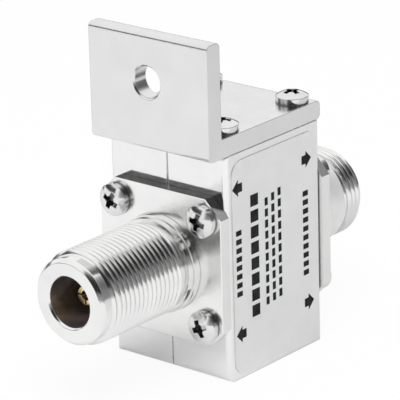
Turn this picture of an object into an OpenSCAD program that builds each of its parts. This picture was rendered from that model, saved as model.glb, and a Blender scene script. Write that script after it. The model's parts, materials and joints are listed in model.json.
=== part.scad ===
// Coaxial surge arrestor: two-half body, two threaded connectors, angle bracket and the inner line parts.
// Frame: Z up, Y along the line with the antenna end at minus Y, X across the seam with the label at plus X.
// The body stands on Z = 0 with its middle over the origin.

/* [Body] */
// Width across the seam
body_w = 24.7; // [24:0.1:28]
// Depth along the line
body_d = 24.4; // [24:0.1:30]
// Height
body_h = 38.9; // [37:0.1:46]
// Height of the line above the base
axis_z = 19.2; // [18.5:0.1:20]
// Rounding of the upright edges and of the edges across the seam
body_edge_r = 1; // [0.4:0.1:1.1]
// Width of the groove along the seam
seam_w = 0.3; // [0.1:0.05:0.5]
// Depth of the groove along the seam
seam_depth = 0.4; // [0.1:0.05:0.6]
// Thickness of the two end walls
end_wall = 1.6; // [1.2:0.1:2]
// Radius of the line chamber
chamber_r = 6.2; // [5.8:0.1:7]

/* [Connector flanges] */
// Side of the square flange
flange_w = 25.4; // [24.6:0.1:28]
// Flange thickness
flange_t = 2.2; // [1.6:0.1:3.2]
// Corner cut of the flange
flange_cut = 3.15; // [1:0.05:4]
// Distance of the screws from the flange edges
screw_inset = 3.58; // [3.4:0.01:3.7]

/* [Connector barrels] */
// Major diameter of the coupling thread
thread_d = 15.8; // [15.6:0.05:16.2]
// Antenna barrel, flange face to tip
antenna_barrel = 22.7; // [20:0.1:28]
// Equipment barrel, flange face to tip
equipment_barrel = 16.3; // [15.5:0.1:24]
// Antenna neck behind the undercut
antenna_neck = 1.1; // [0.6:0.1:3]
// Equipment neck behind the undercut
equipment_neck = 8.9; // [2:0.1:9]
// Length of the collar on the flange
collar_len = 1.4; // [0.8:0.1:2]
// Collar radius above the thread
collar_step = 0.4; // [0.2:0.05:0.8]
// Neck radius above the thread
neck_step = 0.1; // [0.05:0.05:0.15]
// Undercut length
undercut_len = 0.7; // [0.4:0.1:1.2]
// Undercut depth below the thread
undercut_depth = 0.7; // [0.3:0.05:1]
// Smooth pilot at the antenna tip, with its bevel
antenna_pilot = 2.3; // [1:0.1:3]
// Smooth pilot at the equipment tip, with its bevel
equipment_pilot = 1.1; // [1:0.1:3]
// Pilot depth below the thread
pilot_depth = 0.7; // [0.4:0.05:1]
// Length of the pilot bevel
bevel_len = 0.7; // [0.3:0.1:0.9]
// Depth of the pilot bevel
bevel_depth = 0.63; // [0.3:0.01:1]

/* [Connector sockets] */
// Socket bore radius
socket_r = 4.2; // [4:0.05:4.5]
// Socket depth from the tip
socket_depth = 9; // [8:0.1:9.5]
// Bevel at the socket mouth
mouth_bevel = 0.35; // [0.2:0.05:0.6]
// Bore radius between socket and bead
line_bore_r = 3.5; // [3:0.05:3.8]
// Insulator bead radius
bead_r = 4.6; // [4.3:0.05:5]
// Insulator bead length
bead_len = 6; // [4:0.1:6.5]
// Width of the body's ledge behind the bead
bead_ledge = 0.6; // [0.4:0.05:0.8]
// Centre contact radius
contact_r = 1.52; // [1.4:0.02:1.6]
// Recess of the contact tip below the barrel tip
contact_recess = 4; // [3.6:0.1:5]
// Radius of the hole in the contact
contact_hole_r = 0.83; // [0.7:0.01:0.9]
// Depth of the hole in the contact
contact_hole_depth = 5.5; // [5:0.1:6]
// Width of the contact slots
slot_w = 0.3; // [0.2:0.05:0.4]
// Length of the contact slots
slot_len = 4.5; // [3:0.1:4.8]
// Radius of the contact ring that seats on the bead
contact_ring_r = 2.2; // [1.9:0.05:2.6]
// Thickness of the contact ring
contact_ring_t = 1; // [0.6:0.1:1.5]
// Radius of the contact tail
tail_r = 1.1; // [0.9:0.05:1.2]
// Length of the contact tail
tail_len = 2; // [1.5:0.1:2.2]

/* [Bracket] */
// Set-back of the bracket from the body's sides
bracket_side = 0.05; // [-0.5:0.05:0.5]
// Plate thickness
bracket_t = 3.2; // [2.6:0.1:4]
// Height of the upright plate
bracket_h = 19.4; // [17:0.1:30]
// Reach of the plate's front face ahead of the body
bracket_reach = 4.1; // [3.8:0.1:8]
// Overhang of the leg behind the body
bracket_back = 0.2; // [0:0.1:1]
// Rounding of the bracket edges that run across it
bracket_edge_r = 0.9; // [0.3:0.1:1.2]
// Radius of the mounting hole
hole_r = 2.65; // [2.2:0.05:3.5]
// Bevel of the mounting hole
hole_bevel = 0.3; // [0.1:0.05:0.5]
// Sideways offset of the mounting hole
hole_x = -0.3; // [-2:0.1:2]
// Distance of the bracket screws from the body's sides
bracket_screw_side = 3.23; // [3:0.01:4]
// Distance of the bracket screws from the body's end faces
bracket_screw_end = 3.08; // [2.9:0.01:4]

/* [Screws] */
// Screw thread radius
screw_r = 1.42; // [1.3:0.01:1.5]
// Screw length under the head
screw_len = 8; // [7:0.1:9]
// Head radius
head_r = 2.75; // [2.5:0.05:2.8]
// Head height
head_h = 1.95; // [1.5:0.05:2.2]
// Radius of the head's crown
head_crown = 5; // [4:0.1:8]
// Width of the cross recess
cross_w = 0.9; // [0.5:0.05:1]
// Span of the cross recess
cross_span = 3; // [2.4:0.1:3.4]
// Depth of the cross recess
cross_depth = 1.3; // [0.8:0.05:1.5]
// Radius of the recess where its wings meet
cross_heart_r = 0.9; // [0.6:0.05:1.1]
// Turn of the first screw of a set, in degrees
first_turn = 10; // [0:1:89]
// Turn from each screw of a set to the next, in degrees
next_turn = 52; // [0:1:89]
// Radius of the clearance holes
clear_r = 1.65; // [1.6:0.01:1.9]

/* [Line parts] */
// Space between end wall face and hub
hub_gap = 2.4; // [2.2:0.1:2.8]
// Hub radius
hub_r = 4.2; // [3.9:0.1:4.6]
// Hub length
hub_len = 6.8; // [6.6:0.1:7.2]
// Height of the hub's flat below the line
hub_flat = 3.4; // [3.2:0.1:3.6]
// Thickness of the dielectric disc
dielectric_t = 0.8; // [0.4:0.1:1]
// Disc radius beyond the hub
dielectric_lip = 0.6; // [0.3:0.1:0.8]
// Thickness of the equipment plate
plate_t = 3; // [2.8:0.1:4]

/* [Gas tube] */
// Tube radius
tube_r = 3; // [2.6:0.05:3.05]
// Length of the ceramic
ceramic_len = 5; // [4:0.1:6]
// Wall of the ceramic
ceramic_wall = 0.9; // [0.6:0.05:1]
// Thickness of the electrode discs
electrode_t = 1; // [0.6:0.1:1.2]
// Radius of the electrode bosses
electrode_boss_r = 1.4; // [1:0.05:1.5]
// Spark gap between the bosses
spark_gap = 1; // [0.5:0.1:1.5]
// Height of the disc spring
spring_h = 1; // [0.8:0.1:1.4]
// Thickness of the disc spring
spring_t = 0.4; // [0.3:0.05:0.5]
// Radius of the hole in the disc spring
spring_hole_r = 1.1; // [0.9:0.05:1.3]
// Width of the seating rims of the disc spring
spring_rim = 0.5; // [0.3:0.05:0.6]
// Space around the tube in its pocket
pocket_gap = 0.3; // [0.2:0.05:0.4]

/* [Label] */
// Bare strip of the body at each side of the label
label_side = 1.15; // [1:0.05:3]
// Bare strip below the label
label_below = 0.7; // [0.5:0.05:3]
// Bare strip above the label
label_above = 1.3; // [0.5:0.05:3]
// Label thickness
label_t = 0.15; // [0.1:0.05:0.3]
// Corner radius
label_r = 2.6; // [1:0.1:4]

/* [Fits] */
// Radial gap of the turned fits
fit_gap = 0.05; // [0.02:0.01:0.08]

/* [Hidden] */
$fn = 96;

eps = 0.01;
thread_r = thread_d / 2;
collar_r = thread_r + collar_step;
neck_r = thread_r + neck_step;
undercut_r = thread_r - undercut_depth;
pilot_r = thread_r - pilot_depth;
tip_r = pilot_r - bevel_depth;
wall_hole_r = bead_r - bead_ledge;
tap_r = screw_r + fit_gap;
tap_spare = 1;
flange_pitch = flange_w - 2 * screw_inset;
hub_y = -body_d / 2 + hub_gap;
dielectric_y = hub_y + hub_len;
plate_y = dielectric_y + dielectric_t;
plate_end_y = plate_y + plate_t;
equipment_inset = body_d / 2 - plate_end_y;
tail_bore_spare = 0.4;
tube_y = hub_y + hub_len / 2;
tube_top = axis_z - hub_flat;
ceramic_top = tube_top - electrode_t;
ceramic_bottom = ceramic_top - ceramic_len;
tube_bottom = ceramic_bottom - electrode_t;
pocket_floor = tube_bottom - spring_h;
electrode_boss_len = (ceramic_len - spark_gap) / 2;
bracket_w = body_w - 2 * bracket_side;
leg_len = body_d + bracket_reach + bracket_back;
bracket_pitch_x = body_w - 2 * bracket_screw_side;
bracket_pitch_y = body_d - 2 * bracket_screw_end;
hole_z = (bracket_t + bracket_h) / 2;
label_w = body_d - 2 * label_side;
label_h = body_h - label_below - label_above;
label_z = label_below + label_h / 2;

// Flat shapes

module rounded_rect(w, h, r) {
    square([w - 2 * r, h], center = true);
    square([w, h - 2 * r], center = true);
    for (sx = [-1, 1])
        for (sy = [-1, 1])
            translate([sx * (w / 2 - r), sy * (h / 2 - r)])
                circle(r = r);
}

// Bar along X on Z = 0, centred in X and Y, with its lengthwise edges rounded and its ends cut square
module rounded_bar(w, d, h, r) {
    translate([-w / 2, 0, h / 2])
        rotate([90, 0, 90])
            linear_extrude(height = w)
                rounded_rect(d, h, r);
}

// Ring of constant section
module ring(outer_r, inner_r, h) {
    difference() {
        cylinder(r = outer_r, h = h);
        translate([0, 0, -eps])
            cylinder(r = inner_r, h = h + 2 * eps);
    }
}

// Places children with their Z pointing out of the antenna or the equipment face, on the line
module at_antenna() {
    translate([0, -body_d / 2, axis_z])
        rotate([90, 0, 0])
            children();
}

module at_equipment() {
    translate([0, body_d / 2, axis_z])
        rotate([-90, 0, 0])
            children();
}

// Places children with their Z along plus Y from a point on the line
module along_line(y) {
    translate([0, y, axis_z])
        rotate([-90, 0, 0])
            children();
}

// Places children on the corners of a rectangle, each turned on from the one before
module at_corners(pitch_x, pitch_y) {
    for (i = [0:3])
        translate([(i < 2 ? -1 : 1) * pitch_x / 2, (i % 2 == 0 ? -1 : 1) * pitch_y / 2, 0])
            rotate([0, 0, first_turn + i * next_turn])
                children();
}

module at_flange_screws() {
    at_corners(flange_pitch, flange_pitch)
        children();
}

module at_bracket_screws() {
    at_corners(bracket_pitch_x, bracket_pitch_y)
        children();
}

// Screws

module pan_head() {
    intersection() {
        cylinder(r = head_r, h = head_h);
        translate([0, 0, head_h - head_crown])
            sphere(r = head_crown);
    }
}

// Cross recess with its mouth at Z = 0: four wings around a tapered heart
module cross_recess() {
    for (a = [0, 90])
        rotate([0, 0, a])
            translate([-cross_span / 2, -cross_w / 2, -cross_depth])
                cube([cross_span, cross_w, cross_depth + eps]);
    translate([0, 0, -cross_depth])
        cylinder(r1 = cross_w / 2, r2 = cross_heart_r, h = cross_depth + eps);
}

// Head on Z = 0, shank below
module pan_screw() {
    difference() {
        pan_head();
        translate([0, 0, head_h])
            cross_recess();
    }
    translate([0, 0, -screw_len])
        cylinder(r = screw_r, h = screw_len);
}

module bracket_screws() {
    color([0.8, 0.8, 0.8])
        translate([0, 0, body_h + bracket_t])
            at_bracket_screws()
                pan_screw();
}

module antenna_flange_screws() {
    color([0.8, 0.8, 0.8])
        at_antenna()
            translate([0, 0, flange_t])
                at_flange_screws()
                    pan_screw();
}

module equipment_flange_screws() {
    color([0.8, 0.8, 0.8])
        at_equipment()
            translate([0, 0, flange_t])
                at_flange_screws()
                    pan_screw();
}

// Body

// Tapped hole under a plate of the given thickness, opening at Z = 0
module tapped_hole(plate) {
    depth = screw_len - plate + tap_spare;
    translate([0, 0, -depth])
        cylinder(r = tap_r, h = depth + eps);
}

module line_chamber() {
    along_line(-body_d / 2 - eps)
        cylinder(r = wall_hole_r, h = body_d + 2 * eps);
    along_line(-body_d / 2 + end_wall)
        cylinder(r = chamber_r, h = body_d - 2 * end_wall);
    translate([0, tube_y, pocket_floor])
        cylinder(r = tube_r + pocket_gap, h = axis_z - pocket_floor);
}

// Bar along Z that, set half into a face, leaves a groove of the seam's width and depth
module groove_bar(length) {
    linear_extrude(height = length)
        square([seam_w, 2 * seam_depth], center = true);
}

module seam_grooves() {
    for (sy = [-1, 1])
        translate([0, sy * body_d / 2, -eps])
            groove_bar(body_h + 2 * eps);
    for (z = [0, body_h])
        translate([0, -body_d / 2 - eps, z])
            rotate([-90, 0, 0])
                groove_bar(body_d + 2 * eps);
}

module body_half(side) {
    difference() {
        intersection() {
            linear_extrude(height = body_h)
                rounded_rect(body_w, body_d, body_edge_r);
            rounded_bar(body_w, body_d, body_h, body_edge_r);
            translate([side < 0 ? -body_w : 0, -body_d, -eps])
                cube([body_w, 2 * body_d, body_h + 2 * eps]);
        }
        line_chamber();
        seam_grooves();
        at_antenna()
            at_flange_screws()
                tapped_hole(flange_t);
        at_equipment()
            at_flange_screws()
                tapped_hole(flange_t);
        translate([0, 0, body_h])
            at_bracket_screws()
                tapped_hole(bracket_t);
    }
}

module body_half_left() {
    color([0.86, 0.86, 0.86])
        body_half(-1);
}

module body_half_right() {
    color([0.86, 0.86, 0.86])
        body_half(1);
}

// Bracket

module mounting_bracket() {
    color([0.84, 0.84, 0.84])
        translate([0, 0, body_h])
            difference() {
                union() {
                    translate([0, -body_d / 2 - bracket_reach + bracket_t / 2, 0])
                        rounded_bar(bracket_w, bracket_t, bracket_h, bracket_edge_r);
                    translate([0, (bracket_back - bracket_reach) / 2, 0])
                        rounded_bar(bracket_w, leg_len, bracket_t, bracket_edge_r);
                }
                translate([hole_x, -body_d / 2 - bracket_reach, hole_z])
                    rotate([-90, 0, 0])
                        beveled_hole();
                translate([0, 0, -eps])
                    at_bracket_screws()
                        cylinder(r = clear_r, h = bracket_t + 2 * eps);
            }
}

// Through hole along plus Z with both mouths beveled
module beveled_hole() {
    translate([0, 0, -eps])
        cylinder(r = hole_r, h = bracket_t + 2 * eps);
    translate([0, 0, -eps])
        cylinder(r1 = hole_r + hole_bevel + eps, r2 = hole_r, h = hole_bevel + eps);
    translate([0, 0, bracket_t - hole_bevel])
        cylinder(r1 = hole_r, r2 = hole_r + hole_bevel + eps, h = hole_bevel + eps);
}

// Connectors

module flange() {
    half = flange_w / 2;
    inner = half - flange_cut;
    difference() {
        linear_extrude(height = flange_t)
            polygon([
                [-half, -inner], [-half, inner], [-inner, half], [inner, half],
                [half, inner], [half, -inner], [inner, -half], [-inner, -half]
            ]);
        translate([0, 0, -eps])
            at_flange_screws()
                cylinder(r = clear_r, h = flange_t + 2 * eps);
    }
}

// Outside of the barrel as turned, from the flange face out
module barrel_outside(barrel, neck, pilot) {
    tip = flange_t + barrel;
    collar_end = flange_t + collar_len;
    neck_end = collar_end + neck;
    thread_start = neck_end + undercut_len;
    thread_end = tip - pilot;
    rotate_extrude()
        polygon([
            [0, 0], [collar_r, 0], [collar_r, collar_end],
            [neck_r, collar_end], [neck_r, neck_end],
            [undercut_r, neck_end], [undercut_r, thread_start],
            [thread_r, thread_start], [thread_r, thread_end],
            [pilot_r, thread_end], [pilot_r, tip - bevel_len],
            [tip_r, tip], [0, tip]
        ]);
}

// Bore as turned: bead seat, line bore, socket and its beveled mouth
module barrel_bore(barrel) {
    tip = flange_t + barrel;
    step = tip - socket_depth;
    rotate_extrude()
        polygon([
            [0, -eps], [bead_r, -eps], [bead_r, bead_len],
            [line_bore_r, bead_len], [line_bore_r, step],
            [socket_r, step], [socket_r, tip - mouth_bevel],
            [socket_r + mouth_bevel, tip], [socket_r + mouth_bevel, tip + eps], [0, tip + eps]
        ]);
}

module connector_shell(barrel, neck, pilot) {
    difference() {
        union() {
            flange();
            barrel_outside(barrel, neck, pilot);
        }
        barrel_bore(barrel);
    }
}

// Slotted socket contact: the tail is fitted into a plate that starts at -inset
module contact(barrel, inset) {
    tip = flange_t + barrel - contact_recess;
    difference() {
        union() {
            translate([0, 0, -inset])
                cylinder(r = contact_r, h = tip + inset);
            translate([0, 0, -inset - tail_len])
                cylinder(r = tail_r, h = tail_len + eps);
            translate([0, 0, bead_len])
                cylinder(r = contact_ring_r, h = contact_ring_t);
        }
        translate([0, 0, tip - contact_hole_depth])
            cylinder(r = contact_hole_r, h = contact_hole_depth + eps);
        for (a = [0, 90])
            rotate([0, 0, a])
                translate([-contact_r - eps, -slot_w / 2, tip - slot_len])
                    cube([2 * contact_r + 2 * eps, slot_w, slot_len + eps]);
    }
}

module bead() {
    ring(bead_r - fit_gap, contact_r + fit_gap, bead_len);
}

module antenna_shell() {
    color([0.8, 0.8, 0.8])
        at_antenna()
            connector_shell(antenna_barrel, antenna_neck, antenna_pilot);
}

module equipment_shell() {
    color([0.8, 0.8, 0.8])
        at_equipment()
            connector_shell(equipment_barrel, equipment_neck, equipment_pilot);
}

module antenna_contact() {
    color([0.85, 0.66, 0.25])
        at_antenna()
            contact(antenna_barrel, hub_gap);
}

module equipment_contact() {
    color([0.85, 0.66, 0.25])
        at_equipment()
            contact(equipment_barrel, equipment_inset);
}

module antenna_bead() {
    color([0.95, 0.95, 0.93])
        at_antenna()
            bead();
}

module equipment_bead() {
    color([0.95, 0.95, 0.93])
        at_equipment()
            bead();
}

// Series capacitor

module tail_bore() {
    cylinder(r = tail_r + fit_gap, h = tail_len + tail_bore_spare);
}

module line_hub() {
    color([0.8, 0.68, 0.4])
        difference() {
            along_line(hub_y)
                cylinder(r = hub_r, h = hub_len);
            along_line(hub_y - eps)
                tail_bore();
            translate([-hub_r, hub_y - eps, axis_z - 2 * hub_r])
                cube([2 * hub_r, hub_len + 2 * eps, 2 * hub_r - hub_flat]);
        }
}

module dielectric_disc() {
    color([0.93, 0.93, 0.9])
        along_line(dielectric_y)
            cylinder(r = hub_r + dielectric_lip, h = dielectric_t);
}

module equipment_plate() {
    color([0.8, 0.68, 0.4])
        along_line(plate_end_y)
            mirror([0, 0, 1])
                difference() {
                    cylinder(r = hub_r, h = plate_t);
                    translate([0, 0, -eps])
                        tail_bore();
                }
}

// Gas tube

module electrode() {
    cylinder(r = tube_r, h = electrode_t);
    translate([0, 0, electrode_t - eps])
        cylinder(r = electrode_boss_r, h = electrode_boss_len + eps);
}

module tube_line_electrode() {
    color([0.75, 0.75, 0.75])
        translate([0, tube_y, tube_top])
            mirror([0, 0, 1])
                electrode();
}

module tube_ceramic() {
    color([0.93, 0.9, 0.88])
        translate([0, tube_y, ceramic_bottom])
            ring(tube_r, tube_r - ceramic_wall, ceramic_len);
}

module tube_ground_electrode() {
    color([0.75, 0.75, 0.75])
        translate([0, tube_y, tube_bottom])
            electrode();
}

module tube_spring() {
    color([0.7, 0.7, 0.68])
        translate([0, tube_y, pocket_floor])
            rotate_extrude()
                polygon([
                    [tube_r - spring_rim, 0], [tube_r, 0], [tube_r, spring_t],
                    [spring_hole_r + spring_rim, spring_h], [spring_hole_r, spring_h],
                    [spring_hole_r, spring_h - spring_t]
                ]);
}

// Label

module side_label() {
    color([0.82, 0.82, 0.82])
        translate([body_w / 2, 0, label_z])
            rotate([90, 0, 90])
                linear_extrude(height = label_t)
                    rounded_rect(label_w, label_h, label_r);
}

body_half_left();
body_half_right();
mounting_bracket();
bracket_screws();
antenna_shell();
antenna_flange_screws();
antenna_contact();
antenna_bead();
equipment_shell();
equipment_flange_screws();
equipment_contact();
equipment_bead();
line_hub();
dielectric_disc();
equipment_plate();
tube_line_electrode();
tube_ceramic();
tube_ground_electrode();
tube_spring();
side_label();
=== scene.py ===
"""Looks of a coaxial surge arrestor.

Connector shells with their threads, label print, finishes, studio and camera.
"""

import json
import math

import bmesh
import bpy
from mathutils import Matrix, Vector


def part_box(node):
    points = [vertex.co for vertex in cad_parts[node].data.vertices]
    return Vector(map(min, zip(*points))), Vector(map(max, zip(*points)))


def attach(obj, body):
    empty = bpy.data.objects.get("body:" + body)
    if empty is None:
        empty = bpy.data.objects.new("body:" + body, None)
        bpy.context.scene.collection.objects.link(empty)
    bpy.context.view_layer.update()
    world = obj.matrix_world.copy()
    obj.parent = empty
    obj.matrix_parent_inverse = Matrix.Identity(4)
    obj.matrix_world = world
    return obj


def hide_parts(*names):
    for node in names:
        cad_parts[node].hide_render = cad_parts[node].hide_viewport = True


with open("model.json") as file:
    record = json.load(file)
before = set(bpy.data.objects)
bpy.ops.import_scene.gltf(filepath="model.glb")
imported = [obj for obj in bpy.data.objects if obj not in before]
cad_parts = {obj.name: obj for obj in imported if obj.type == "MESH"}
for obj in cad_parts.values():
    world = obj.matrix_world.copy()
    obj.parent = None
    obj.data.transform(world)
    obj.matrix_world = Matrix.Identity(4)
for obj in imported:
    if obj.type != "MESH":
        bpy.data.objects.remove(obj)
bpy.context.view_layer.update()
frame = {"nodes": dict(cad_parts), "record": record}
mounts = {mount["name"]: mount for mount in frame["record"]["mounts"]}

MM = 0.001
BODY = "root"


# Meshes

SMOOTH_ANGLE = math.radians(40)
FLAT_FACE_WEIGHT = 80
WELD = 1e-6


def new_object(name, bm, material):
    """Turn a bmesh into an object of the scene with one material."""
    mesh = bpy.data.meshes.new(name)
    bm.to_mesh(mesh)
    bm.free()
    mesh.materials.append(material)
    thing = bpy.data.objects.new(name, mesh)
    bpy.context.scene.collection.objects.link(thing)
    return thing


def add_piece(name, bm, finish):
    """A piece that rides on the part."""
    piece = new_object(name, bm, finish)
    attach(piece, BODY)
    return piece


def smooth(piece):
    """Smooth shading with crisp corners, weighted so that flat faces stay flat."""
    piece.data.shade_smooth()
    piece.data.set_sharp_from_angle(angle=SMOOTH_ANGLE)
    weighted = piece.modifiers.new("flat_faces", "WEIGHTED_NORMAL")
    weighted.keep_sharp = True
    weighted.weight = FLAT_FACE_WEIGHT


def loop(bm, points):
    """A closed loop of edges through points; returns its vertices and its edges."""
    verts = [bm.verts.new(point) for point in points]
    edges = [bm.edges.new((a, b)) for a, b in zip(verts, verts[1:] + verts[:1])]
    return verts, edges


def bridge(bm, inner, outer):
    """A band of quads between two closed loops of vertices."""
    for i in range(len(inner)):
        after = (i + 1) % len(inner)
        bm.faces.new((inner[i], inner[after], outer[after], outer[i]))


# Connector shells, in millimetres

FLANGE_T = 2.2
FLANGE_CUT = 3.15
FLANGE_EASE = 0.12
SCREW_PITCH = 18.24
CLEAR_R = 1.65
CLEAR_STEPS = 32

COLLAR_R = 8.3
COLLAR_LEN = 1.4
NECK_R = 8.0
UNDERCUT_R = 7.2
UNDERCUT_LEN = 0.7
PILOT_R = 7.2
BEVEL_LEN = 0.7
TIP_R = 6.57
SOCKET_R = 4.2
SOCKET_DEPTH = 9.0
MOUTH_BEVEL = 0.35
LINE_BORE_R = 3.5
BEAD_R = 4.6
BEAD_LEN = 6.0
TURNED_EASE = 0.09
# An eased corner takes up no more than this share of the sides that meet there
EASE_SHARE = 0.4

# Coupling thread: 24 turns to the inch, right-handed, with flanks 60 degrees apart
INCH = 25.4
PITCH = INCH / 24
THREAD_DEPTH = 0.6
ROOT_FLAT = 0.12
CREST_ROUND = 0.05
FLANK_SLOPE = math.tan(math.radians(30))
# Rise of the thread per millimetre in from either of its ends
LEAD_SLOPE = 1.0
TURN_STEPS = 144
# A point that a groove of the thread passes: distance out from the flange's back, and
# angle about the axis from +X to +Z, in radians
ANTENNA_GROOVE = (21.87, 0.517)
EQUIPMENT_GROOVE = (16.0, 0.0)

# Finishes of a shell, in the order of its material slots
BARREL, BORE, FLANGE, NECK = range(4)


class Turning:
    """Places on a part turned about the line's axis, out from its flange's back face."""

    def __init__(self, node, thread, groove):
        low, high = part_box(node)
        self.axis_x, thread_y, self.axis_z = thread["pos_m"]
        self.out = thread["axis"][1]
        self.face_y = high.y if self.out < 0 else low.y
        self.flange_w = (high.x - low.x) / MM
        self.tip = (high.y - low.y) / MM
        middle = abs(thread_y - self.face_y) / MM
        half = thread["dims"]["length_mm"] / 2
        self.thread_start = middle - half
        self.thread_end = middle + half
        self.thread_r = thread["dims"]["r_mm"]
        self.groove, self.groove_angle = groove

    def square(self, x, along, z):
        """Point at x and z from the axis."""
        return Vector((
            self.axis_x + x * MM,
            self.face_y + self.out * along * MM,
            self.axis_z + z * MM,
        ))

    def turned(self, along, r, step):
        """Point at a radius, some steps round the axis; the steps go the thread's way."""
        angle = self.groove_angle - self.out * math.tau * step / TURN_STEPS
        return self.square(r * math.cos(angle), along, r * math.sin(angle))

    def ring(self, along, r):
        """Points all the way round at a radius."""
        return [self.turned(along, r, step) for step in range(TURN_STEPS)]

    def measure(self, point):
        """Distance of a point from the flange's back face and from the axis."""
        r = math.hypot(point.x - self.axis_x, point.z - self.axis_z)
        return abs(point.y - self.face_y) / MM, r / MM


def eased(profile, size):
    """Round each corner of a turned profile, but not its ends, by two short chamfers."""
    corners = [Vector(point) for point in profile]
    points = corners[:1]
    for before, corner, after in zip(corners, corners[1:], corners[2:]):
        back, ahead = before - corner, after - corner
        reach = min(size, back.length * EASE_SHARE, ahead.length * EASE_SHARE)
        start = corner + back.normalized() * reach
        end = corner + ahead.normalized() * reach
        points += [start, (start + end) / 4 + corner / 2, end]
    return points + corners[-1:]


def revolve(bm, turning, profile):
    """Quads swept round the axis along a profile of (along, radius) points."""
    rings = [[bm.verts.new(point) for point in turning.ring(*place)] for place in profile]
    for inner, outer in zip(rings, rings[1:]):
        bridge(bm, inner, outer)


def thread_profile(crest_r):
    """One pitch of the thread, from one groove's middle to the next: (along, radius) points."""
    root_r = crest_r - THREAD_DEPTH
    flank = THREAD_DEPTH * FLANK_SLOPE
    foot = ROOT_FLAT / 2
    rise = [
        (0, root_r),
        (foot, root_r),
        (foot + flank - CREST_ROUND * FLANK_SLOPE, crest_r - CREST_ROUND),
        (foot + flank + CREST_ROUND, crest_r),
    ]
    fall = [(PITCH - along, r) for along, r in reversed(rise[1:])]
    return rise + fall


def helix(bm, turning):
    """The thread as one wound strip; its ends run out on the undercut and the pilot."""
    start, end = turning.thread_start, turning.thread_end
    turns_before = math.ceil((turning.groove - start) / PITCH) + 1
    first = turning.groove - turns_before * PITCH
    turns = math.ceil((end - first) / PITCH) + 1
    profile = thread_profile(turning.thread_r)

    def vertex(step, along, r):
        along = min(max(first + along + PITCH * step / TURN_STEPS, start), end)
        run_out = UNDERCUT_R + LEAD_SLOPE * min(along - start, end - along)
        return bm.verts.new(turning.turned(along, min(r, run_out), step))

    rows = [
        [vertex(step, along, r) for along, r in profile]
        for step in range(turns * TURN_STEPS + 1)
    ]
    for step in range(len(rows) - 1):
        here, ahead = list(rows[step]), list(rows[step + 1])
        # Rows end where the rows one turn on begin
        if step + 1 + TURN_STEPS < len(rows):
            here.append(rows[step + TURN_STEPS][0])
            ahead.append(rows[step + 1 + TURN_STEPS][0])
        for i in range(len(here) - 1):
            bm.faces.new((here[i], ahead[i], ahead[i + 1], here[i + 1]))


def cut_square(width, cut):
    """Corners of a square with cut corners, in order round it."""
    half = width / 2
    side = [(half, cut - half), (half, half - cut)]
    corners = []
    for _ in range(4):
        corners += side
        side = [(-z, x) for x, z in side]
    return corners


def flange(bm, turning, front_r, back_r):
    """Square flange with cut corners, eased front edge, four screw holes and a middle hole.

    The barrel goes on from the middle hole's front ring, and the bore from its back ring.
    """
    rim = cut_square(turning.flange_w, FLANGE_CUT)
    lip_cut = FLANGE_CUT - (2 - math.sqrt(2)) * FLANGE_EASE
    lip = cut_square(turning.flange_w - 2 * FLANGE_EASE, lip_cut)
    outlines = [
        loop(bm, [turning.square(x, along, z) for x, z in outline])
        for along, outline in ((0, rim), (FLANGE_T - FLANGE_EASE, rim), (FLANGE_T, lip))
    ]
    for (inner, _), (outer, _) in zip(outlines, outlines[1:]):
        bridge(bm, inner, outer)

    # Edges that bound the back face and the front face
    sheets = {0: list(outlines[0][1]), FLANGE_T: list(outlines[-1][1])}
    angles = [math.tau * step / CLEAR_STEPS for step in range(CLEAR_STEPS)]
    half = SCREW_PITCH / 2
    for x, z in ((half, half), (-half, half), (-half, -half), (half, -half)):
        mouths = []
        for along in sheets:
            verts, edges = loop(bm, [
                turning.square(x + CLEAR_R * math.cos(a), along, z + CLEAR_R * math.sin(a))
                for a in angles
            ])
            sheets[along] += edges
            mouths.append(verts)
        bridge(bm, *mouths)
    for along, r in ((0, back_r), (FLANGE_T, front_r)):
        _, edges = loop(bm, turning.ring(along, r))
        sheets[along] += edges
    for edges in sheets.values():
        bmesh.ops.triangle_fill(bm, use_beauty=True, edges=edges)


def connector_shell(name, node, thread, groove, skins):
    """Flange, collar, neck, undercut, thread, pilot and stepped bore as one welded skin.

    skins are the finishes of the barrel, the bore, the flange's front and the neck.
    """
    turning = Turning(node, thread, groove)
    tip = turning.tip
    collar_end = FLANGE_T + COLLAR_LEN
    neck_end = turning.thread_start - UNDERCUT_LEN
    socket_end = tip - SOCKET_DEPTH
    base = [
        (FLANGE_T, COLLAR_R), (collar_end, COLLAR_R), (collar_end, NECK_R),
        (neck_end, NECK_R), (neck_end, UNDERCUT_R), (turning.thread_start, UNDERCUT_R),
    ]
    nose = [
        (turning.thread_end, PILOT_R), (tip - BEVEL_LEN, PILOT_R), (tip, TIP_R),
        (tip, SOCKET_R + MOUTH_BEVEL), (tip - MOUTH_BEVEL, SOCKET_R), (socket_end, SOCKET_R),
        (socket_end, LINE_BORE_R), (BEAD_LEN, LINE_BORE_R), (BEAD_LEN, BEAD_R), (0, BEAD_R),
    ]
    bm = bmesh.new()
    flange(bm, turning, COLLAR_R, BEAD_R)
    revolve(bm, turning, eased(base, TURNED_EASE))
    helix(bm, turning)
    revolve(bm, turning, eased(nose, TURNED_EASE))
    bmesh.ops.remove_doubles(bm, verts=bm.verts, dist=WELD)
    bmesh.ops.dissolve_degenerate(bm, edges=bm.edges, dist=WELD)
    bmesh.ops.recalc_face_normals(bm, faces=bm.faces)
    for face in bm.faces:
        along, r = turning.measure(face.calc_center_median())
        if r < SOCKET_R + TURNED_EASE / 2 and along < tip - MOUTH_BEVEL:
            face.material_index = BORE
        elif r > COLLAR_R and along > FLANGE_T - FLANGE_EASE / 4:
            face.material_index = FLANGE
        elif collar_end < along < neck_end:
            face.material_index = NECK
    piece = add_piece(name, bm, skins[BARREL])
    for finish in skins[BORE:]:
        piece.data.materials.append(finish)
    smooth(piece)
    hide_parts(node)


# Label print, in millimetres on the label's face: y along the line, z up

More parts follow.
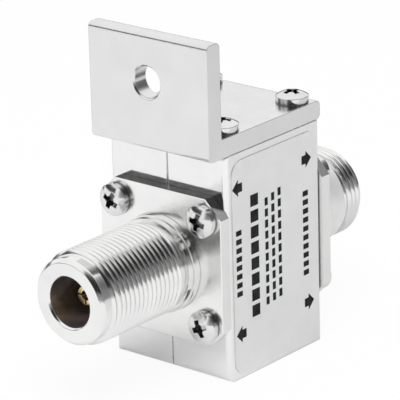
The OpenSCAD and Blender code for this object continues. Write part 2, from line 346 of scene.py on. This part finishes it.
INK_T = 0.02
ARROW_LEN = 2.5
ARROW_HEAD = 1.45
ARROW_W = 2.9
ARROW_TAIL_W = 1.5
# Arrow middles, and the way they point along the line
ARROWS = [(-9.75, 33.0, -1), (8.3, 33.0, 1), (-9.4, 7.75, -1), (8.6, 7.85, 1)]
# Plain dashes in place of words: middle y, width, lowest z, highest z, number of dashes,
# share of each step that is ink
DASH_ROWS = [
    (-9.6, 1.4, 14.4, 25.8, 8, 0.6),
    (-5.5, 2.0, 9.8, 30.9, 8, 0.74),
    (-2.4, 0.8, 10.8, 29.4, 10, 0.7),
    (-0.7, 0.8, 11.0, 29.8, 10, 0.7),
    (1.0, 0.8, 11.2, 30.2, 10, 0.7),
    (7.9, 1.4, 12.8, 27.6, 10, 0.6),
]


def ink_prism(bm, outline, face_x):
    """A raised film of ink on the label: outline is a list of (y, z)."""
    under = [bm.verts.new((face_x, y * MM, z * MM)) for y, z in outline]
    top = [bm.verts.new((face_x + INK_T * MM, y * MM, z * MM)) for y, z in outline]
    bm.faces.new(under)
    bm.faces.new(top)
    bridge(bm, under, top)


def arrow_outline(y, z, way):
    """Corners of a short arrow about its middle, in order round it from the tip."""
    tip = y + way * ARROW_LEN / 2
    neck = tip - way * ARROW_HEAD
    tail = y - way * ARROW_LEN / 2
    head, shaft = ARROW_W / 2, ARROW_TAIL_W / 2
    return [
        (tip, z), (neck, z + head), (neck, z + shaft), (tail, z + shaft),
        (tail, z - shaft), (neck, z - shaft), (neck, z - head),
    ]


def dash_outlines(y, width, low, high, count, ink):
    """A row of dashes, one outline each, from the lowest to the highest."""
    step = (high - low) / (count - 1 + ink)
    left, right = y - width / 2, y + width / 2
    for i in range(count):
        bottom = low + i * step
        top = bottom + ink * step
        yield [(left, bottom), (right, bottom), (right, top), (left, top)]


def label_print(finish):
    """Arrows and dashes of ink on the label's face."""
    _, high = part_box("side_label")
    arrows = [arrow_outline(*arrow) for arrow in ARROWS]
    dashes = [outline for row in DASH_ROWS for outline in dash_outlines(*row)]
    for name, outlines in (("label_arrows", arrows), ("label_dashes", dashes)):
        bm = bmesh.new()
        for outline in outlines:
            ink_prism(bm, outline, high.x)
        bmesh.ops.recalc_face_normals(bm, faces=bm.faces)
        add_piece(name, bm, finish)


# Finishes

# The middle values of a noise, over which tone and gloss change
NOISE_SPAN = (0.3, 0.7)
# Clouds in the tone and in the gloss: how fine they are, per millimetre, and their detail
METAL_CLOUDS = ((0.2, 3), (1.1, 4))
TURNED_CLOUDS = ((0.25, 3), (1.3, 4))
SOLID_CLOUDS = ((0.9, 4), (2.5, 3))
METAL_GRAIN_DETAIL = 2
SOLID_GRAIN_DETAIL = 3
# How metallic label foil and blasted plating look
MATT_METALLIC = 0.5
INK_SPECULAR = 0.04

EDGE_MM = 0.12
EDGE_SAMPLES = 6

# Painted shade in grooves, recesses and corners: share of the colour left where the painted shade
# is deepest, how far across a gap it reaches, in millimetres, and how open a corner may be to get
# all of it: 0 is closed and 1 is a flat face
DEEP_PAINTED_SHADE = (0.26, 1.1, 0.6)
FAINT_PAINTED_SHADE = (0.5, 0.3, 0.25)
THREAD_PAINTED_SHADE = (0.5, 0.5, 0.25)
# Where a corner is at least this open, it gets no painted shade
UNSHADED_OPENNESS = 0.8
PAINTED_SHADE_SAMPLES = 8


def link(tree, source, target):
    tree.links.new(source, target)


def mapped(tree, value, low, high, span=(0, 1)):
    """Low to high, as a value goes over a span."""
    ramp = tree.nodes.new("ShaderNodeMapRange")
    ramp.inputs["From Min"].default_value, ramp.inputs["From Max"].default_value = span
    ramp.inputs["To Min"].default_value = low
    ramp.inputs["To Max"].default_value = high
    link(tree, value, ramp.inputs["Value"])
    return ramp.outputs["Result"]


def in_mm(tree):
    """Position on the part in millimetres."""
    place = tree.nodes.new("ShaderNodeTexCoord")
    scale = tree.nodes.new("ShaderNodeVectorMath")
    scale.operation = "SCALE"
    scale.inputs["Scale"].default_value = 1 / MM
    link(tree, place.outputs["Object"], scale.inputs[0])
    return scale.outputs["Vector"]


def round_axis(tree, place):
    """Distance from the line's axis and distance along it, which are alike all the way round."""
    axis = mounts["antenna_thread"]["pos_m"]
    offset = tree.nodes.new("ShaderNodeVectorMath")
    offset.operation = "SUBTRACT"
    offset.inputs[1].default_value = (axis[0] / MM, 0, axis[2] / MM)
    split = tree.nodes.new("ShaderNodeSeparateXYZ")
    flat = tree.nodes.new("ShaderNodeCombineXYZ")
    radius = tree.nodes.new("ShaderNodeVectorMath")
    radius.operation = "LENGTH"
    rings = tree.nodes.new("ShaderNodeCombineXYZ")
    link(tree, place, offset.inputs[0])
    link(tree, offset.outputs["Vector"], split.inputs["Vector"])
    link(tree, split.outputs["X"], flat.inputs["X"])
    link(tree, split.outputs["Z"], flat.inputs["Y"])
    link(tree, flat.outputs["Vector"], radius.inputs[0])
    link(tree, radius.outputs["Value"], rings.inputs["X"])
    link(tree, split.outputs["Y"], rings.inputs["Y"])
    return rings.outputs["Vector"]


def noise(tree, place, per_mm, detail, stretch=(1, 1, 1)):
    """Noise of a given fineness, optionally stretched along the part's axes."""
    spread = tree.nodes.new("ShaderNodeMapping")
    spread.inputs["Scale"].default_value = stretch
    cloud = tree.nodes.new("ShaderNodeTexNoise")
    cloud.inputs["Scale"].default_value = per_mm
    cloud.inputs["Detail"].default_value = detail
    link(tree, place, spread.inputs["Vector"])
    link(tree, spread.outputs["Vector"], cloud.inputs["Vector"])
    return cloud.outputs["Fac"]


def tone(tree, value, dark, light):
    """Colour that runs from dark to light over the middle of a noise."""
    ramp = tree.nodes.new("ShaderNodeValToRGB")
    for stop, place, colour in zip(ramp.color_ramp.elements, NOISE_SPAN, (dark, light)):
        stop.position = place
        stop.color = (*colour, 1)
    link(tree, value, ramp.inputs["Fac"])
    return ramp.outputs["Color"]


def painted_shade_in_hollows(tree, colour, left, reach_mm, openness):
    """The colour, darkened by painted shade where ambient occlusion finds grooves, recesses and
    corners.
    """
    corner = tree.nodes.new("ShaderNodeAmbientOcclusion")
    corner.samples = PAINTED_SHADE_SAMPLES
    corner.inputs["Distance"].default_value = reach_mm * MM
    unshaded_share = mapped(tree, corner.outputs["AO"], left, 1, (openness, UNSHADED_OPENNESS))
    shade_scale = tree.nodes.new("ShaderNodeVectorMath")
    shade_scale.operation = "SCALE"
    link(tree, colour, shade_scale.inputs[0])
    link(tree, unshaded_share, shade_scale.inputs["Scale"])
    return shade_scale.outputs["Vector"]


def clouded(name, dark, light, gloss, clouds, metallic=0, painted_shade=None):
    """A material with clouds in its tone and in its gloss, which is a (low, high) roughness.

    Returns it with its tree, its shader and the position on the part.
    """
    finish = bpy.data.materials.new(name)
    finish.use_nodes = True
    tree = finish.node_tree
    shader = tree.nodes["Principled BSDF"]
    shader.inputs["Metallic"].default_value = metallic
    place = in_mm(tree)
    in_tone, in_gloss = (noise(tree, place, *cloud) for cloud in clouds)
    colour = tone(tree, in_tone, dark, light)
    # Painted shade: the colour is darkened in hollows that ambient occlusion finds
    if painted_shade:
        colour = painted_shade_in_hollows(tree, colour, *painted_shade)
    link(tree, colour, shader.inputs["Base Color"])
    link(tree, mapped(tree, in_gloss, *gloss, NOISE_SPAN), shader.inputs["Roughness"])
    return finish, tree, shader, place


def relief(tree, height, depth_mm, shader):
    """A fine grain; returns the node that raises it."""
    bump = tree.nodes.new("ShaderNodeBump")
    bump.inputs["Strength"].default_value = 1
    bump.inputs["Distance"].default_value = depth_mm * MM
    link(tree, height, bump.inputs["Height"])
    link(tree, bump.outputs["Normal"], shader.inputs["Normal"])
    return bump


def soft_edges(tree, radius_mm, grain):
    """Edges that catch the light as if rounded to a radius, under the grain."""
    edge = tree.nodes.new("ShaderNodeBevel")
    edge.samples = EDGE_SAMPLES
    edge.inputs["Radius"].default_value = radius_mm * MM
    link(tree, edge.outputs["Normal"], grain.inputs["Normal"])


# In each finish, grain is how fine the grain is, per millimetre, and how deep, in millimetres


def metal(name, dark, light, gloss, grain, painted_shade=FAINT_PAINTED_SHADE, edge_mm=EDGE_MM, stretch=(1, 1, 1)):
    """Metal with faint clouds, painted shade in its corners, soft edges and a fine grain."""
    finish, tree, shader, place = clouded(
        name, dark, light, gloss, METAL_CLOUDS, metallic=1, painted_shade=painted_shade)
    per_mm, depth = grain
    height = noise(tree, place, per_mm, METAL_GRAIN_DETAIL, stretch)
    soft_edges(tree, edge_mm, relief(tree, height, depth, shader))
    return finish


def turned_metal(name, dark, light, gloss, grain, painted_shade=FAINT_PAINTED_SHADE):
    """Metal whose grain is fine tool marks that run round the line's axis, with painted shade in
    its hollows.
    """
    finish, tree, shader, place = clouded(
        name, dark, light, gloss, TURNED_CLOUDS, metallic=1, painted_shade=painted_shade)
    per_mm, depth = grain
    marks = noise(tree, round_axis(tree, place), per_mm, METAL_GRAIN_DETAIL)
    relief(tree, marks, depth, shader)
    return finish


def matt_metal(name, dark, light, gloss, grain):
    """Label foil or blasted plating: half metal, half matt, with a fine grain."""
    finish, tree, shader, place = clouded(
        name, dark, light, gloss, METAL_CLOUDS, metallic=MATT_METALLIC)
    per_mm, depth = grain
    relief(tree, noise(tree, place, per_mm, METAL_GRAIN_DETAIL), depth, shader)
    return finish


def solid(name, dark, light, gloss, grain):
    """Plastic, ceramic or ink: clouded colour, uneven gloss and a fine grain."""
    finish, tree, shader, place = clouded(name, dark, light, gloss, SOLID_CLOUDS)
    per_mm, depth = grain
    relief(tree, noise(tree, place, per_mm, SOLID_GRAIN_DETAIL), depth, shader)
    return finish


def label_ink():
    """Black ink that hardly shines."""
    ink = solid(
        "label_ink", dark=(0.012, 0.012, 0.013), light=(0.03, 0.03, 0.032),
        gloss=(0.4, 0.6), grain=(9.0, 0.004),
    )
    shader = ink.node_tree.nodes["Principled BSDF"]
    shader.inputs["Specular IOR Level"].default_value = INK_SPECULAR
    return ink


def grey(value, warm=0.0):
    """A grey that lacks some blue where it is warm."""
    return (value, value, value - warm)


# By the record's material slots
finishes = {
    "body": metal(
        "bright_plating", dark=grey(0.85), light=grey(0.9),
        gloss=(0.09, 0.14), grain=(1.6, 0.0008), edge_mm=0.3,
    ),
    "bracket": metal(
        "satin_plating", dark=grey(0.76), light=grey(0.8),
        gloss=(0.17, 0.24), grain=(2.2, 0.0012), edge_mm=0.2,
    ),
    # Painted shade darkens the thread's roots and the shell's other hollows
    "shell": turned_metal(
        "turned_plating", dark=grey(0.83), light=grey(0.89, warm=0.01),
        gloss=(0.13, 0.18), grain=(5.0, 0.0006), painted_shade=THREAD_PAINTED_SHADE,
    ),
    # Deep painted shade darkens the screws' cross recesses and the feet of their heads
    "screw": metal(
        "screw_steel", dark=grey(0.72), light=grey(0.82),
        gloss=(0.1, 0.16), grain=(3.0, 0.001), painted_shade=DEEP_PAINTED_SHADE, edge_mm=0.25,
    ),
    "contact": metal(
        "gold_plating", dark=(0.9, 0.7, 0.38), light=(0.97, 0.8, 0.48),
        gloss=(0.12, 0.2), grain=(4.0, 0.0008),
    ),
    "bead": solid(
        "white_insulator", dark=(0.82, 0.81, 0.78), light=(0.9, 0.89, 0.87),
        gloss=(0.35, 0.5), grain=(6.0, 0.004),
    ),
    "line_metal": turned_metal(
        "turned_brass", dark=(0.68, 0.5, 0.24), light=(0.8, 0.62, 0.33),
        gloss=(0.18, 0.28), grain=(4.0, 0.0015),
    ),
    "dielectric": solid(
        "dielectric_disc", dark=(0.78, 0.74, 0.62), light=(0.86, 0.82, 0.72),
        gloss=(0.3, 0.45), grain=(5.0, 0.003),
    ),
    "electrode": metal(
        "tinned_electrode", dark=grey(0.6, warm=0.01), light=grey(0.7, warm=0.01),
        gloss=(0.25, 0.38), grain=(3.0, 0.002),
    ),
    "tube_ceramic": solid(
        "tube_ceramic", dark=(0.8, 0.77, 0.72), light=(0.88, 0.86, 0.82),
        gloss=(0.5, 0.7), grain=(8.0, 0.004),
    ),
    "spring": metal(
        "rolled_spring", dark=grey(0.5, warm=0.01), light=grey(0.6, warm=0.01),
        gloss=(0.2, 0.3), grain=(3.0, 0.0015), stretch=(0.2, 1, 1),
    ),
    "label": matt_metal(
        "label_foil", dark=grey(0.77), light=grey(0.81),
        gloss=(0.28, 0.36), grain=(5.0, 0.0008),
    ),
}
bore_metal = turned_metal(
    "bore_metal", dark=(0.57, 0.56, 0.57), light=(0.8, 0.7, 0.66),
    gloss=(0.3, 0.4), grain=(4.0, 0.002),
)
flange_plating = metal(
    "flange_plating", dark=grey(0.86), light=grey(0.92, warm=0.01),
    gloss=(0.18, 0.26), grain=(2.0, 0.001),
)
neck_plating = matt_metal(
    "neck_plating", dark=grey(0.84), light=grey(0.9, warm=0.01),
    gloss=(0.42, 0.5), grain=(5.0, 0.002),
)

for part in frame["record"]["subparts"]:
    skin = frame["nodes"][part["node"]].data.materials
    skin.clear()
    skin.append(finishes[part["material_slot"]])

connector_shell(
    "antenna_shell_threaded", "antenna_shell", mounts["antenna_thread"], ANTENNA_GROOVE,
    (finishes["shell"], bore_metal, flange_plating, finishes["shell"]),
)
connector_shell(
    "equipment_shell_threaded", "equipment_shell", mounts["equipment_thread"], EQUIPMENT_GROOVE,
    (finishes["shell"], bore_metal, flange_plating, neck_plating),
)
label_print(label_ink())


# Studio, in metres

WORLD_LIGHT = 0.65

FLOOR_R = 1.6
FLOOR_STEPS = 64
FLOOR_COLOUR = (0.9, 0.9, 0.9, 1)
# Share of the floor's look that is glow and not light and shadow: to the camera, in metal
FLOOR_GLOW = 0.92
FLOOR_GLOW_MIRRORED = 0.3
# In metal the glow falls off from the front to the back of the set
FLOOR_FALL_Y = (-0.02, 0.01)
FLOOR_BACK = 0.4

# Curved screens round the set: first and last azimuth from +X to +Y, elevation of the foot
# and of the top, all in degrees, and the tone at the foot and at the top
FLAGS = {
    "left_flag": (-165, -105, 11, 28, 0.05, 0.25),
    "front_haze": (-91, -84, 0, 60, 0.5, 0.95),
    "front_flag": (-84, -20, 17, 60, 0.02, 0.7),
    "front_foot": (-84, -20, 0, 17, 0.3, 0.12),
    "side_flag": (-20, 45, 0, 57, 0.25, 0.7),
    "far_flag": (45, 85, 0, 41, 0.1, 0.4),
    "back_flag": (85, 195, 0, 12, 0.15, 0.35),
}
FLAG_R = 1.2
FLAG_STEPS = 24
# The higher, the nearer to a screen's top its tone changes
FLAG_SOFTNESS = 4

LAMP_AT = Vector((0.35, -0.42, 1.1))
LAMP_AIM = Vector((0, 0, 0.03))
LAMP_SIZE = 0.8
LAMP_POWER = 8.0


def larger(tree, a, b):
    """The larger of two values."""
    pick = tree.nodes.new("ShaderNodeMath")
    pick.operation = "MAXIMUM"
    link(tree, a, pick.inputs[0])
    link(tree, b, pick.inputs[1])
    return pick.outputs["Value"]


def by_ray(tree, plain, seen, mirrored):
    """A value by kind of ray: plain lighting, seen by the camera, or mirrored or through glass.

    Plain is the least of the three.
    """
    path = tree.nodes.new("ShaderNodeLightPath")
    bounced = larger(tree, path.outputs["Is Glossy Ray"], path.outputs["Is Transmission Ray"])
    direct = mapped(tree, path.outputs["Is Camera Ray"], plain, seen)
    return larger(tree, direct, mapped(tree, bounced, plain, mirrored))


def coordinate(tree, kind, axis):
    """One coordinate on an object: kind is Object, in metres, or Generated, from 0 to 1."""
    place = tree.nodes.new("ShaderNodeTexCoord")
    split = tree.nodes.new("ShaderNodeSeparateXYZ")
    link(tree, place.outputs[kind], split.inputs["Vector"])
    return split.outputs[axis]


def stage_material(name):
    """A material with nothing but its output; returns it with its tree and surface socket."""
    material = bpy.data.materials.new(name)
    material.use_nodes = True
    tree = material.node_tree
    tree.nodes.clear()
    output = tree.nodes.new("ShaderNodeOutputMaterial")
    return material, tree, output.inputs["Surface"]


def stage_piece(name, bm, material):
    """An object of the set, not of the part."""
    piece = new_object(name, bm, material)
    return piece


def white_world():
    """White surroundings, dimmer as a light than they look."""
    world = bpy.data.worlds.new("white_studio")
    bpy.context.scene.world = world
    world.use_nodes = True
    tree = world.node_tree
    background = tree.nodes["Background"]
    background.inputs["Color"].default_value = (1, 1, 1, 1)
    link(tree, by_ray(tree, WORLD_LIGHT, 1, 1), background.inputs["Strength"])


def white_floor():
    """A round pale floor that looks white and keeps a faint shadow."""
    material, tree, surface = stage_material("white_floor")
    matt = tree.nodes.new("ShaderNodeBsdfDiffuse")
    matt.inputs["Color"].default_value = FLOOR_COLOUR
    glow = tree.nodes.new("ShaderNodeEmission")
    mix = tree.nodes.new("ShaderNodeMixShader")
    path = tree.nodes.new("ShaderNodeLightPath")
    # To the camera the glow is full all over; in metal it falls off
    fall = mapped(tree, coordinate(tree, "Object", "Y"), 1, FLOOR_BACK, FLOOR_FALL_Y)
    link(tree, larger(tree, path.outputs["Is Camera Ray"], fall), glow.inputs["Strength"])
    link(tree, by_ray(tree, 0, FLOOR_GLOW, FLOOR_GLOW_MIRRORED), mix.inputs["Fac"])
    link(tree, matt.outputs["BSDF"], mix.inputs[1])
    link(tree, glow.outputs["Emission"], mix.inputs[2])
    link(tree, mix.outputs["Shader"], surface)
    bm = bmesh.new()
    bmesh.ops.create_circle(bm, cap_ends=True, segments=FLOOR_STEPS, radius=FLOOR_R)
    stage_piece("floor", bm, material)


def flag(name, start_deg, end_deg, foot_deg, top_deg, foot_tone, top_tone):
    """A curved screen beside the set, seen only in the metal."""
    material, tree, surface = stage_material(name)
    steep = tree.nodes.new("ShaderNodeMath")
    steep.operation = "POWER"
    steep.inputs[1].default_value = FLAG_SOFTNESS
    glow = tree.nodes.new("ShaderNodeEmission")
    link(tree, coordinate(tree, "Generated", "Z"), steep.inputs[0])
    strength = mapped(tree, steep.outputs["Value"], foot_tone, top_tone)
    link(tree, strength, glow.inputs["Strength"])
    link(tree, glow.outputs["Emission"], surface)
    bm = bmesh.new()
    foot, top = (FLAG_R * math.tan(math.radians(deg)) for deg in (foot_deg, top_deg))
    columns = []
    for step in range(FLAG_STEPS + 1):
        angle = math.radians(start_deg + (end_deg - start_deg) * step / FLAG_STEPS)
        x, y = FLAG_R * math.cos(angle), FLAG_R * math.sin(angle)
        columns.append((bm.verts.new((x, y, foot)), bm.verts.new((x, y, top))))
    for (a, b), (c, d) in zip(columns, columns[1:]):
        bm.faces.new((a, c, d, b))
    screen = stage_piece(name, bm, material)
    screen.visible_camera = False
    screen.visible_diffuse = False
    screen.visible_shadow = False


def soft_lamp():
    """A soft lamp high above the camera for floor and matt surfaces; metal doesn't mirror it."""
    light = bpy.data.lights.new("soft_box", "AREA")
    light.shape = "DISK"
    light.size = LAMP_SIZE
    light.energy = LAMP_POWER
    lamp = bpy.data.objects.new("soft_box", light)
    lamp.location = LAMP_AT
    lamp.rotation_euler = (LAMP_AIM - LAMP_AT).to_track_quat("-Z", "Y").to_euler()
    lamp.visible_glossy = False
    bpy.context.scene.collection.objects.link(lamp)


white_world()
white_floor()
for name, screen in FLAGS.items():
    flag(name, *screen)
soft_lamp()


# Camera, fitted to the photograph: place in metres, and the angles it looks from

CAMERA_AT = Vector((0.31695, -0.38099, 0.20235))
CAMERA_AZIMUTH = math.radians(40.069)
CAMERA_ELEVATION = math.radians(19.614)
CAMERA_ROLL = math.radians(-1.561)
CAMERA_REACH = 10
SENSOR_MM = 36
LENS_MM = 286.24


def camera():
    """The photograph's camera, turned by its azimuth, elevation and roll."""
    data = bpy.data.cameras.new("photo_camera")
    data.sensor_width = SENSOR_MM
    data.lens = LENS_MM
    data.clip_end = CAMERA_REACH
    viewer = bpy.data.objects.new("photo_camera", data)
    back = Vector((
        math.sin(CAMERA_AZIMUTH) * math.cos(CAMERA_ELEVATION),
        -math.cos(CAMERA_AZIMUTH) * math.cos(CAMERA_ELEVATION),
        math.sin(CAMERA_ELEVATION),
    ))
    level = Vector((math.cos(CAMERA_AZIMUTH), math.sin(CAMERA_AZIMUTH), 0))
    right = level * math.cos(CAMERA_ROLL) + back.cross(level) * math.sin(CAMERA_ROLL)
    up = back.cross(right)
    turn = Matrix((right, up, back)).transposed()
    viewer.matrix_world = Matrix.Translation(CAMERA_AT) @ turn.to_4x4()
    bpy.context.scene.collection.objects.link(viewer)
    bpy.context.scene.camera = viewer


camera()
bpy.context.scene.view_settings.view_transform = "Standard"
